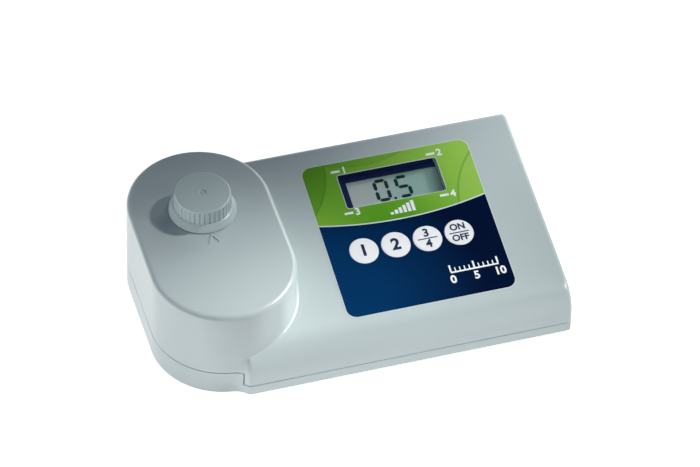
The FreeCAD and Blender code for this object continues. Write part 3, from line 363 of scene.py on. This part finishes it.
def lettering(name, words, size, x, s, material, body="housing"):
    """Printed figures or letters, centred on (x, s)."""
    curve = bpy.data.curves.new(name + "_text", "FONT")
    curve.body, curve.size = words, size
    curve.align_x, curve.align_y = "CENTER", "CENTER"
    curve.resolution_u = 6
    curve.offset = size * LETTER_WEIGHT
    source = bpy.data.objects.new(name + "_text", curve)
    scene.collection.objects.link(source)
    shape = bpy.context.evaluated_depsgraph_get()
    mesh = bpy.data.meshes.new_from_object(source.evaluated_get(shape))
    bpy.data.objects.remove(source)
    mesh.transform(SLOPE_PLACE @ Matrix.Translation((x, s, PRINT_TOP)))
    mesh.materials.clear()
    mesh.materials.append(material)
    mesh.name = name
    add_piece(name, mesh, body)


def bars(name, spans, material, body="housing"):
    """Printed bars, each given as (x0, x1, s0, s1)."""
    verts, faces = [], []
    for x0, x1, s0, s1 in spans:
        start = len(verts)
        verts += [(x0, s0), (x1, s0), (x1, s1), (x0, s1)]
        faces.append([start, start + 1, start + 2, start + 3])
    on_slope(name, verts, faces, material, body, PRINT_TOP)


# Figures on the keys
SINGLE_SIZE = 8.4
PAIRS = (("3", "4", 5.8), ("ON", "OFF", 4.6))
PAIR_RISE = 2.9
DIVIDER_HALF = (4.7, 0.27)
for i, words in enumerate(("1", "2")):
    x, s = KEY_PLACES[i]
    body = "key_%d" % (i + 1)
    lettering(body + "_figure", words, SINGLE_SIZE, x, s, print_navy, body)
for i, (above, below, size) in enumerate(PAIRS, 2):
    x, s = KEY_PLACES[i]
    body = "key_%d" % (i + 1)
    lettering(body + "_upper_figure", above, size, x, s + PAIR_RISE, print_navy, body)
    lettering(body + "_lower_figure", below, size, x, s - PAIR_RISE, print_navy, body)
    divider = (x - DIVIDER_HALF[0], x + DIVIDER_HALF[0], s - DIVIDER_HALF[1], s + DIVIDER_HALF[1])
    bars(body + "_divider", [divider], print_navy, body)

# Marks round the window, one at each corner
MARK_X, MARK_S = (6.6, 52.6), (88.6, 65.4)
MARK_SIZE = 5.0
MARK_FIGURE_SHIFT = 3.4
MARK_BAR = (-2.9, 1.3, -0.6, 0.6)
for i in range(4):
    x, s = MARK_X[i % 2], MARK_S[i // 2]
    name = "mark_%d" % (i + 1)
    lettering(name + "_figure", str(i + 1), MARK_SIZE, x + MARK_FIGURE_SHIFT, s, print_white)
    bars(name + "_bar", [(x + MARK_BAR[0], x + MARK_BAR[1], s + MARK_BAR[2], s + MARK_BAR[3])], print_white)

# Level gauge between window and keys
GAUGE_LEFT, GAUGE_LOW = 24.6, 60.4
GAUGE_STEP, GAUGE_WIDTH = 2.1, 1.5
GAUGE_TALL, GAUGE_GROWTH = 1.3, 0.88
bars("level_gauge", [(GAUGE_LEFT + i * GAUGE_STEP, GAUGE_LEFT + GAUGE_WIDTH + i * GAUGE_STEP,
                      GAUGE_LOW, GAUGE_LOW + GAUGE_TALL + i * GAUGE_GROWTH) for i in range(6)], print_white)

# Scale at the foil's lower right
SCALE_LEFT, SCALE_RIGHT, SCALE_S = 42.4, 65.4, 24.4
SCALE_LINE_HALF = 0.4
LONG_TICK, SHORT_TICK = (0.45, 4.0), (0.28, 2.4)
TICK_INSET, FIGURE_INSET = 0.25, 0.3
FIGURE_SIZE, FIGURE_DROP = 5.6, 3.8
ticks = [(SCALE_LEFT, SCALE_RIGHT, SCALE_S - SCALE_LINE_HALF, SCALE_S + SCALE_LINE_HALF)]
for i in range(11):
    tick_x = SCALE_LEFT + TICK_INSET + i * (SCALE_RIGHT - SCALE_LEFT - 2 * TICK_INSET) / 10
    half, tall = SHORT_TICK if i % 5 else LONG_TICK
    ticks.append((tick_x - half, tick_x + half, SCALE_S + SCALE_LINE_HALF, SCALE_S + tall))
bars("scale_ticks", ticks, print_white)
for i, figure in enumerate(("0", "5", "10")):
    figure_x = SCALE_LEFT + FIGURE_INSET + i * (SCALE_RIGHT - SCALE_LEFT - 2 * FIGURE_INSET) / 2
    lettering("scale_figure_%d" % i, figure, FIGURE_SIZE, figure_x, SCALE_S - FIGURE_DROP, print_white)

# Figures on the display
SEGMENTS = {"0": "abcdef", "5": "acdfg"}
DIGIT_LOW = 70.2
DIGIT_WIDTH, DIGIT_HEIGHT = 7.2, 12.2
BAR_THICK, BAR_GAP = 1.7, 0.2
ZERO_LEFT, POINT_LEFT, FIVE_LEFT = 21.7, 29.6, 32.0
POINT_SIDE = 1.3


def digit(figure, x0):
    """The bars of a seven-bar figure, with pointed ends, as outlines."""
    x1, s0, s1 = x0 + DIGIT_WIDTH, DIGIT_LOW, DIGIT_LOW + DIGIT_HEIGHT
    mid = DIGIT_LOW + DIGIT_HEIGHT / 2
    half = BAR_THICK / 2

    def level(s):
        a, b = x0 + half + BAR_GAP, x1 - half - BAR_GAP
        return [(a, s), (a + half, s - half), (b - half, s - half),
                (b, s), (b - half, s + half), (a + half, s + half)]

    def upright(x, low, high):
        a, b = low + half + BAR_GAP, high - half - BAR_GAP
        return [(x, a), (x + half, a + half), (x + half, b - half),
                (x, b), (x - half, b - half), (x - half, a + half)]

    shapes = {"a": level(s1 - half), "g": level(mid), "d": level(s0 + half),
              "b": upright(x1 - half, mid - half, s1), "c": upright(x1 - half, s0, mid + half),
              "f": upright(x0 + half, mid - half, s1), "e": upright(x0 + half, s0, mid + half)}
    return [shapes[bar] for bar in SEGMENTS[figure]]


point_right, point_top = POINT_LEFT + POINT_SIDE, DIGIT_LOW + POINT_SIDE
point = [(POINT_LEFT, DIGIT_LOW), (point_right, DIGIT_LOW),
         (point_right, point_top), (POINT_LEFT, point_top)]
verts, faces = [], []
for outline in digit("0", ZERO_LEFT) + digit("5", FIVE_LEFT) + [point]:
    faces.append(list(range(len(verts), len(verts) + len(outline))))
    verts += outline
on_slope("display_figures", verts, faces, display_ink, "housing", DISPLAY_TOP + PRINT_LIFT)

# Snap domes: each CAD dome is hidden and replaced by a copy of its mesh that rides on the housing
for i in range(1, 5):
    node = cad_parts["snap_dome_%d" % i]
    dome = bpy.data.objects.new("pressed_dome_%d" % i, node.data.copy())
    scene.collection.objects.link(dome)
    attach(dome, "housing")
    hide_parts("snap_dome_%d" % i)
    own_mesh(dome)

# Floor: a grey that looks white to the camera and in gloss and glass, and still takes the shadow
FLOOR_HALF = 6
FLOOR_COLOUR = (0.8, 0.8, 0.8, 1)
FLOOR_GLOW = 0.88
floor = bpy.data.objects.new("floor", bpy.data.meshes.new("floor"))
floor.data.from_pydata([(-FLOOR_HALF, -FLOOR_HALF, 0), (FLOOR_HALF, -FLOOR_HALF, 0),
                        (FLOOR_HALF, FLOOR_HALF, 0), (-FLOOR_HALF, FLOOR_HALF, 0)], [], [[0, 1, 2, 3]])
scene.collection.objects.link(floor)
s = Shader("floor_white")
path = s.add("LightPath")
seen = s.math("MAXIMUM", path.outputs["Is Camera Ray"],
              s.math("MAXIMUM", path.outputs["Is Glossy Ray"], path.outputs["Is Transmission Ray"]))
lit = s.add("BsdfDiffuse", {"Color": FLOOR_COLOUR})
glow = s.add("Emission", {"Color": (1, 1, 1, 1), "Strength": s.math("MULTIPLY", seen, FLOOR_GLOW)})
both = s.add("AddShader", {0: lit.outputs[0], 1: glow.outputs[0]})
s.add("OutputMaterial", {0: both.outputs[0]})
floor.data.materials.append(s.material)

# Lights: places and sizes in metres, powers in watts
WORLD_COLOUR, WORLD_STRENGTH = (0.45, 0.68, 1.0, 1), 0.1
SPOT_RADIUS = 0.05

world = bpy.data.worlds.new("studio")
world.use_nodes = True
background = world.node_tree.nodes["Background"]
background.inputs["Color"].default_value = WORLD_COLOUR
background.inputs["Strength"].default_value = WORLD_STRENGTH
scene.world = world


def hang(name, data, place, target, power, glossy):
    """Put a light at a place, aimed at a target. With glossy off it isn't mirrored in gloss."""
    data.energy = power
    light = bpy.data.objects.new(name, data)
    light.visible_glossy = glossy
    light.location = place
    light.rotation_euler = (Vector(target) - Vector(place)).to_track_quat("-Z", "Y").to_euler()
    scene.collection.objects.link(light)


def lamp(name, place, target, width, height, power, glossy=True):
    """A flat lamp, as a soft box."""
    data = bpy.data.lights.new(name, "AREA")
    data.shape, data.size, data.size_y = "RECTANGLE", width, height
    hang(name, data, place, target, power, glossy)


def spot(name, place, target, angle, power, glossy=True):
    """A round lamp whose light fades towards the edge of its cone, given in degrees."""
    data = bpy.data.lights.new(name, "SPOT")
    data.shadow_soft_size, data.spot_size, data.spot_blend = SPOT_RADIUS, math.radians(angle), 1.0
    hang(name, data, place, target, power, glossy)


# Name, place, target, cone in degrees or width and height, power
spot("key_tower", (0.58, 0.03, 0.65), (-0.068, -0.062, 0.045), 12, 36.0)
spot("key_console", (0.58, -0.24, 0.60), (0.060, -0.085, 0.03), 14, 20.0)
spot("right_back", (0.55, 0.30, 0.34), (0.104, 0.040, 0.04), 10, 23.0, glossy=False)
spot("left_fill", (-0.30, -0.30, 0.60), (0.084, 0.032, 0.045), 9, 8.0, glossy=False)
lamp("near_right", (0.27, -0.14, 0.27), (0, -0.03, 0.03), 0.10, 0.10, 0.15)
lamp("left", (-0.60, -0.16, 0.09), (-0.05, 0, 0.03), 0.30, 0.10, 1.5, glossy=False)
lamp("front", (0.06, -0.78, 0.20), (0, 0, 0.02), 0.80, 0.40, 0.9)
lamp("behind", (-0.10, 0.75, 0.09), (0, 0, 0.03), 0.60, 0.10, 0.9, glossy=False)
lamp("right_panel", (0.78, 0.80, 0.52), (0.03, 0, 0.04), 0.55, 0.60, 3.2)

# Camera, as fitted to the edges in the photograph
CAMERA_PLACE = (-0.39865, -1.16248, 1.32826)
CAMERA_LENS, CAMERA_SENSOR = 200.73, 36.0
turn, tilt, roll = math.radians(-19.09), math.radians(46.44), math.radians(3.09)
right = Vector((math.cos(turn), math.sin(turn), 0))
backward = Vector((math.sin(turn) * math.cos(tilt), -math.cos(turn) * math.cos(tilt), math.sin(tilt)))
upward = backward.cross(right)
camera_x = math.cos(roll) * right + math.sin(roll) * upward
camera_y = -math.sin(roll) * right + math.cos(roll) * upward
camera = bpy.data.objects.new("camera", bpy.data.cameras.new("camera"))
camera.data.sensor_fit, camera.data.sensor_width = "HORIZONTAL", CAMERA_SENSOR
camera.data.lens = CAMERA_LENS
camera.data.clip_start, camera.data.clip_end = 0.1, 20.0
camera_turn = Matrix((camera_x, camera_y, backward)).transposed().to_4x4()
camera.matrix_world = Matrix.Translation(CAMERA_PLACE) @ camera_turn
scene.collection.objects.link(camera)
scene.camera = camera
